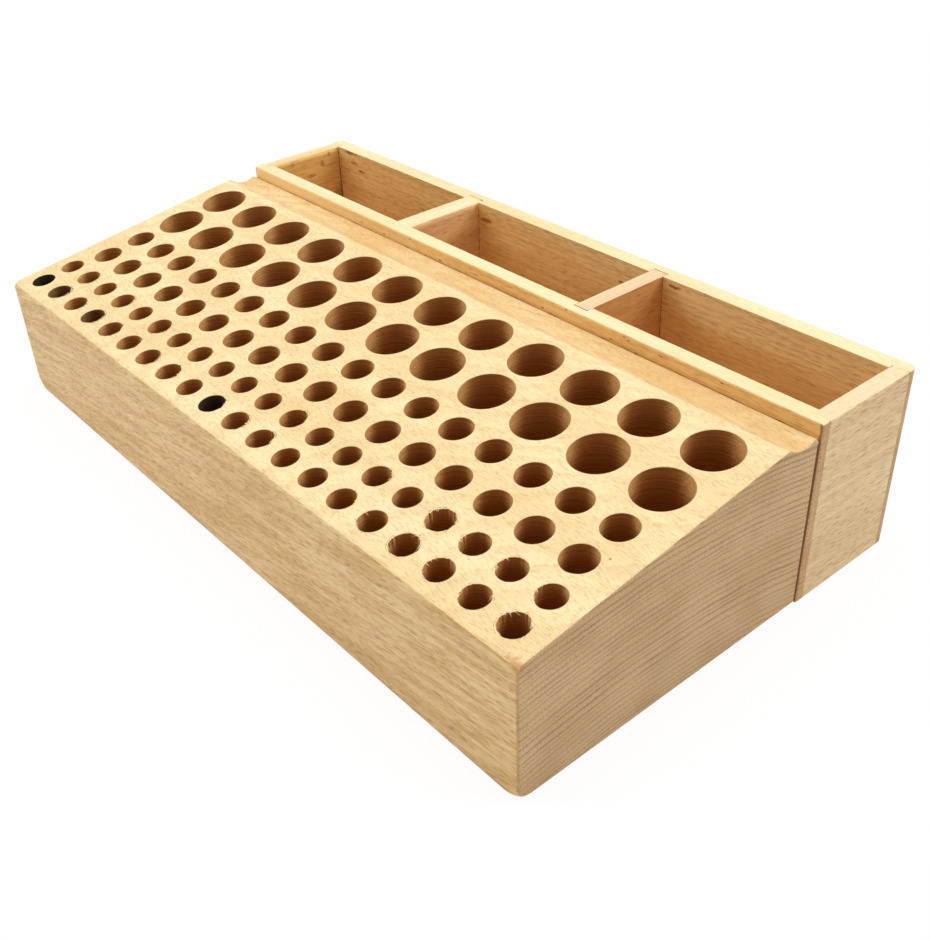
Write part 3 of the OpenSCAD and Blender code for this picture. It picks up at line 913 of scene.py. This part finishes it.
def make_fibres():
    """Torn slivers of wood that the drill left standing on some rims, lying mostly along the grain."""
    draw = random.Random(5)
    bm = bmesh.new()
    places = {b["name"]: b for b in bores}
    for name, (count, sectors, _) in TORN.items():
        bore = places[name]
        x, y, _ = bore["pos_m"]
        reach = bore["dims"]["r_mm"] * MM + SLIVER_ROOT_OUT
        for _ in range(count):
            middle, spread = draw.choice(sectors)
            angle = math.radians(draw.gauss(middle, spread / 2))
            inward = Vector((-math.cos(angle), -math.sin(angle), 0))
            tangent = Vector((-inward.y, inward.x, 0)) * draw.choice((-1, 1))
            if abs(math.sin(angle)) > BESIDE:
                way = tangent + inward * draw.uniform(0.25, 0.6)
                length = draw.uniform(*LONG_SLIVERS)
            else:
                way = inward + tangent * draw.uniform(0, 0.7)
                length = draw.uniform(*SHORT_SLIVERS)
            way.normalize()
            width = draw.uniform(*SLIVER_WIDTHS)
            droop = draw.uniform(0.1, 0.8)
            bend = draw.uniform(-0.3, 0.3)
            rim_y = y + math.sin(angle) * reach
            root = Vector((x + math.cos(angle) * reach, rim_y, top_z(rim_y) - SLIVER_SINK))
            add_sliver(bm, root, way, length * MM, width * MM, droop, bend)
    bmesh.ops.recalc_face_normals(bm, faces=bm.faces)
    add_piece("torn_rim_fibres", bm, [sliver_wood], "rack", "block_beech")


make_block()
make_fibres()


# The tray, with sizes in mm

OUTER_EASE = 1.2
INNER_EASE = 0.8
JOINT_EASE = 0.06
SOFT_EDGE = 2.6
LOOSE_EASE = 0.6
TIGHT = (0.12, 0.34)
FLOOR_EASE = 0.2
SCREW_EASE = 0.1
WELD = 0.002
NEAR = 0.1
FACING = 0.9
END_GRAIN_FACING = 0.45
END_GRAIN_REACH = 4
FLAT_TURN = math.radians(0.5)
EASED_TURN = math.radians(30)
CARRIED_TURN = math.radians(50)
EASE_SEGMENTS = 4
CARRIED_SEGMENTS = 2

WALL_WOODS = [wall_wood, lip_wood, top_edge_wood, inside_wood]
REAR_WOODS = [rear_wood, lip_wood, top_edge_wood, inside_wood]
WALL_SIDE, WALL_END, WALL_TOP, WALL_INSIDE = range(len(WALL_WOODS))
END_WOODS = [end_panel_wood, end_top_wood, end_inside_wood]
END_SIDE, END_TOP, END_INSIDE = range(len(END_WOODS))
LEFT_WOODS = [left_board_wood, left_board_top_wood]
RIGHT_WOODS = [right_board_wood, right_board_top_wood]
BOARD_SIDE, BOARD_TOP = range(len(LEFT_WOODS))


def dressed(node, name, materials, body, slot, radius_of, widest, paint, swollen=(0.0, 0.0)):
    """A copy of a CAD node with its flat faces joined up and its edges eased by radius_of(middle, way);
    paint(middle, normal) chooses each face's material, and swollen widens it in X and Y on each side,
    where it sits tight in its slots."""
    bm = bmesh.new()
    bm.from_mesh(nodes[node].data)
    bmesh.ops.remove_doubles(bm, verts=bm.verts, dist=WELD * MM)
    bmesh.ops.dissolve_limit(bm, angle_limit=FLAT_TURN, verts=bm.verts, edges=bm.edges)
    bmesh.ops.recalc_face_normals(bm, faces=bm.faces)
    centre = sum((v.co for v in bm.verts), Vector()) / len(bm.verts)
    for v in bm.verts:
        for axis in range(2):
            v.co[axis] += math.copysign(swollen[axis] * MM, v.co[axis] - centre[axis])
    weights = bm.edges.layers.float.new("bevel_weight_edge")
    for edge in bm.edges:
        if len(edge.link_faces) != 2 or not edge.is_convex or edge.calc_face_angle() < EASED_TURN:
            continue
        a, b = edge.verts[0].co, edge.verts[1].co
        edge[weights] = radius_of((a + b) / 2 / MM, (b - a).normalized()) / widest
    for face in bm.faces:
        face.material_index = paint(face.calc_center_median() / MM, face.normal)
    piece = add_piece(name, bm, materials, body, slot, node)
    bevel = piece.modifiers.new("eased_edges", "BEVEL")
    bevel.limit_method = "WEIGHT"
    bevel.width = widest * MM
    bevel.segments = EASE_SEGMENTS
    bevel.use_clamp_overlap = True
    even_shading(piece)


def tray_edge(middle, way):
    """Easing of a tray edge by where it runs: outer edges most, joints least."""
    at_top = abs(middle.z - tray_high.z) < NEAR
    at_end = abs(abs(middle.x) - tray_high.x) < NEAR
    at_front = abs(middle.y - tray_low.y) < NEAR
    at_rear = abs(middle.y - rear_high.y) < NEAR
    inside = abs(middle.y - tray_high.y) < NEAR or abs(middle.y - rear_low.y) < NEAR
    if at_end and (at_front or at_rear):
        return OUTER_EASE
    if at_top and (at_end or at_front or at_rear):
        return OUTER_EASE
    if at_top and inside and abs(way.x) > FACING:
        return INNER_EASE
    return JOINT_EASE


def soft_edge(inner_x, loose):
    """Easing with one long top edge rounded over, at inner_x, and the ends of a loose board eased too."""
    def rule(middle, way):
        at_top = abs(middle.z - tray_high.z) < NEAR
        at_inner = abs(middle.x - inner_x) < NEAR
        if at_top and at_inner and abs(way.y) > FACING:
            return SOFT_EDGE
        if loose and (at_top and abs(way.x) > FACING or at_inner and abs(way.z) > FACING):
            return LOOSE_EASE
        return tray_edge(middle, way)
    return rule


def wall_paint(inner):
    """Material of a wall's face: side, end grain on its ends, top, or inside, whose normal is inner
    along Y."""
    def rule(middle, normal):
        if normal.z > FACING:
            return WALL_TOP
        if abs(normal.x) > END_GRAIN_FACING and abs(middle.x) > tray_high.x - END_GRAIN_REACH:
            return WALL_END
        return WALL_INSIDE if normal.y * inner > FACING else WALL_SIDE
    return rule


def end_paint(inner):
    """Material of an end panel's face: outside, top, or inside, whose normal is inner along X."""
    def rule(middle, normal):
        if normal.z > FACING:
            return END_TOP
        return END_INSIDE if normal.x * inner > FACING else END_SIDE
    return rule


def board_paint(middle, normal):
    """Material of a divider's face: side or top."""
    return BOARD_TOP if normal.z > FACING else BOARD_SIDE


def carried_over(node, material, ease):
    """A CAD node that stays, with its own material and slightly eased edges."""
    piece = nodes[node]
    piece.data.materials.clear()
    piece.data.materials.append(material)
    weld = piece.modifiers.new("weld", "WELD")
    weld.merge_threshold = WELD * MM
    bevel = piece.modifiers.new("eased_edges", "BEVEL")
    bevel.width = ease * MM
    bevel.segments = CARRIED_SEGMENTS
    bevel.limit_method = "ANGLE"
    bevel.angle_limit = CARRIED_TURN


dressed("tray_front_wall", "front_wall", WALL_WOODS, "rack", "wall_beech",
        tray_edge, OUTER_EASE, wall_paint(1))
dressed("tray_rear_wall", "rear_wall", REAR_WOODS, "rack", "wall_beech",
        tray_edge, OUTER_EASE, wall_paint(-1))
dressed("tray_left_end", "left_end", END_WOODS, "rack", "end_beech",
        soft_edge(left_end_x, False), SOFT_EDGE, end_paint(1))
dressed("tray_right_end", "right_end", END_WOODS, "rack", "end_beech",
        tray_edge, OUTER_EASE, end_paint(-1))
dressed("tray_left_divider", "left_divider_board", LEFT_WOODS, "left_divider", "divider_beech",
        soft_edge(left_board_x + TIGHT[0], True), SOFT_EDGE, board_paint, TIGHT)
dressed("tray_right_divider", "right_divider_board", RIGHT_WOODS, "right_divider", "divider_beech",
        tray_edge, OUTER_EASE, board_paint)
carried_over("tray_floor", floor_wood, FLOOR_EASE)
carried_over("tray_screws", screw_zinc, SCREW_EASE)


# Floor, light and camera, with sizes in metres

STUDIO_REACH = 6.0
STUDIO_DROP = 0.0002
STUDIO_GREY = (0.86, 0.86, 0.86, 1)
STUDIO_WHITE = 1.04
SHADOW_REACH = (0.35, 0.9)
SHADOW_WHITE = 0.86
WHITE = (1, 1, 1, 1)
AMBIENT = 0.08
AIM = Vector((0, 0, 0.03))
SEEN_RAYS = ("Is Camera Ray", "Is Glossy Ray", "Is Transmission Ray")


def make_floor():
    """White floor that keeps a soft shadow near the rack and turns plain white away from it."""
    mesh = bpy.data.meshes.new("studio_floor")
    corners = [(-1, -1), (1, -1), (1, 1), (-1, 1)]
    mesh.from_pydata([(x * STUDIO_REACH, y * STUDIO_REACH, -STUDIO_DROP) for x, y in corners], [],
                     [(0, 1, 2, 3)])
    floor = bpy.data.objects.new("studio_floor", mesh)
    bpy.context.scene.collection.objects.link(floor)
    s = Shader("studio_floor")
    rays = s.node("LightPath").outputs
    camera, glossy, through = [rays[name] for name in SEEN_RAYS]
    seen = s.math("MAXIMUM", s.math("MAXIMUM", camera, glossy), through)
    matt = s.node("BsdfDiffuse", {"Color": STUDIO_GREY})
    white = s.node("Emission", {"Color": WHITE, "Strength": STUDIO_WHITE})
    away = s.length(s.node("TexCoord").outputs["Object"])
    share = s.math("MULTIPLY", seen, s.ramp(away, *SHADOW_REACH, SHADOW_WHITE, 1.0))
    blend = s.node("MixShader", {0: share, 1: matt.outputs[0], 2: white.outputs[0]})
    out = s.node("OutputMaterial")
    s.tree.links.new(blend.outputs[0], out.inputs[0])
    mesh.materials.append(s.material)


def make_world():
    """White behind everything, and a faint even light."""
    world = bpy.data.worlds.new("studio")
    bpy.context.scene.world = world
    world.use_nodes = True
    tree = world.node_tree
    tree.nodes.clear()
    rays = tree.nodes.new("ShaderNodeLightPath").outputs
    blend = tree.nodes.new("ShaderNodeMixShader")
    for socket, strength in ((1, AMBIENT), (2, 1.0)):
        backdrop = tree.nodes.new("ShaderNodeBackground")
        backdrop.inputs[0].default_value = WHITE
        backdrop.inputs[1].default_value = strength
        tree.links.new(backdrop.outputs[0], blend.inputs[socket])
    seen = rays[SEEN_RAYS[0]]
    for ray in SEEN_RAYS[1:]:
        either = tree.nodes.new("ShaderNodeMath")
        either.operation = "MAXIMUM"
        tree.links.new(seen, either.inputs[0])
        tree.links.new(rays[ray], either.inputs[1])
        seen = either.outputs[0]
    tree.links.new(seen, blend.inputs[0])
    out = tree.nodes.new("ShaderNodeOutputWorld")
    tree.links.new(blend.outputs[0], out.inputs[0])


def make_lamp(name, place, aim, size, watts):
    """Square soft lamp that looks at a point."""
    lamp = bpy.data.lights.new(name, "AREA")
    lamp.shape = "SQUARE"
    lamp.size = size
    lamp.energy = watts
    made = bpy.data.objects.new(name, lamp)
    bpy.context.scene.collection.objects.link(made)
    made.location = place
    made.rotation_euler = (aim - Vector(place)).to_track_quat("-Z", "Y").to_euler()


CAMERA_PLACE = Vector((299.71, -217.19, 244.05)) * MM
CAMERA_AZIMUTH = math.radians(50.936)
CAMERA_ELEVATION = math.radians(34.418)
CAMERA_ROLL = math.radians(-2.534)
CAMERA_LENS = 45.0
CAMERA_SENSOR = 36.0
CAMERA_NEAREST = 0.01


def make_camera():
    """Camera of the photo, from its place and its three angles."""
    camera = bpy.data.cameras.new("camera")
    camera.sensor_fit = "HORIZONTAL"
    camera.sensor_width = CAMERA_SENSOR
    camera.lens = CAMERA_LENS
    camera.clip_start = CAMERA_NEAREST
    made = bpy.data.objects.new("camera", camera)
    bpy.context.scene.collection.objects.link(made)
    a, e = CAMERA_AZIMUTH, CAMERA_ELEVATION
    back = Vector((math.sin(a) * math.cos(e), -math.cos(a) * math.cos(e), math.sin(e)))
    level = Vector((math.cos(a), math.sin(a), 0))
    upright = back.cross(level)
    right = level * math.cos(CAMERA_ROLL) + upright * math.sin(CAMERA_ROLL)
    up = back.cross(right)
    turn = Matrix((right, up, back)).transposed().to_4x4()
    made.matrix_world = Matrix.Translation(CAMERA_PLACE) @ turn
    bpy.context.scene.camera = made


make_floor()
make_world()
make_lamp("overhead", (-0.1, 0.0, 1.5), Vector(), 1.6, 18.5)
make_lamp("left_box", (-1.0, -1.2, 0.8), AIM, 0.9, 10.5)
make_lamp("right_box", (1.05, 0.95, 1.0), AIM, 0.9, 11.5)
make_lamp("side_box", (1.5, -0.5, 0.5), AIM, 0.9, 2.5)
make_camera()

bpy.context.scene.view_settings.view_transform = "Standard"
